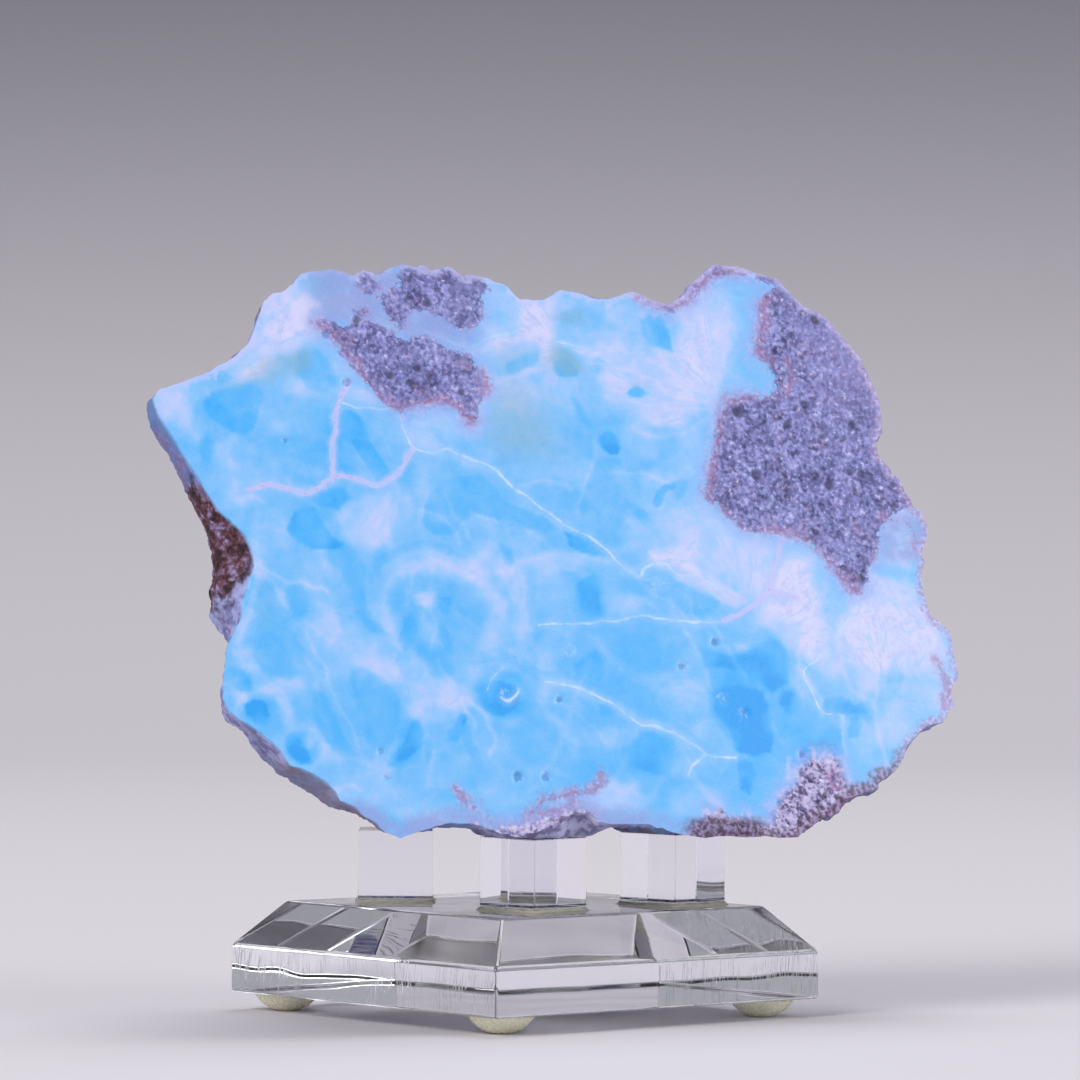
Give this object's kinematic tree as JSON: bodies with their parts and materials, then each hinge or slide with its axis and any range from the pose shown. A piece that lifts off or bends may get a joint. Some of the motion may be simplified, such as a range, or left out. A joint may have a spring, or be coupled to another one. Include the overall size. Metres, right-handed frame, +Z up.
{
  "type": "larimar specimen on stand",
  "caption": "Rough larimar with one polished blue face and granular matrix, resting on a clear square stand with short posts and domed rubber feet.",
  "frame": {"origin": "under the middle of the whole object's box, on the surface that the feet stand on", "axes": "+X to the right across the object as its polished face is seen, +Y away from that viewer, +Z up"},
  "size_m": [0.098, 0.0712, 0.0918],
  "materials": {
    "larimar": "polished on the face, rough elsewhere",
    "clear_acrylic": "clear, flame-polished",
    "clear_rubber": "clear, slightly yellowed"
  },
  "bodies": {
    "root": {"larimar_stone": "larimar", "stand_base": "clear_acrylic", "post_front": "clear_acrylic", "post_right": "clear_acrylic", "post_back": "clear_acrylic", "post_left": "clear_acrylic", "foot_front": "clear_rubber", "foot_right": "clear_rubber", "foot_back": "clear_rubber", "foot_left": "clear_rubber"}
  },
  "joints": []
}
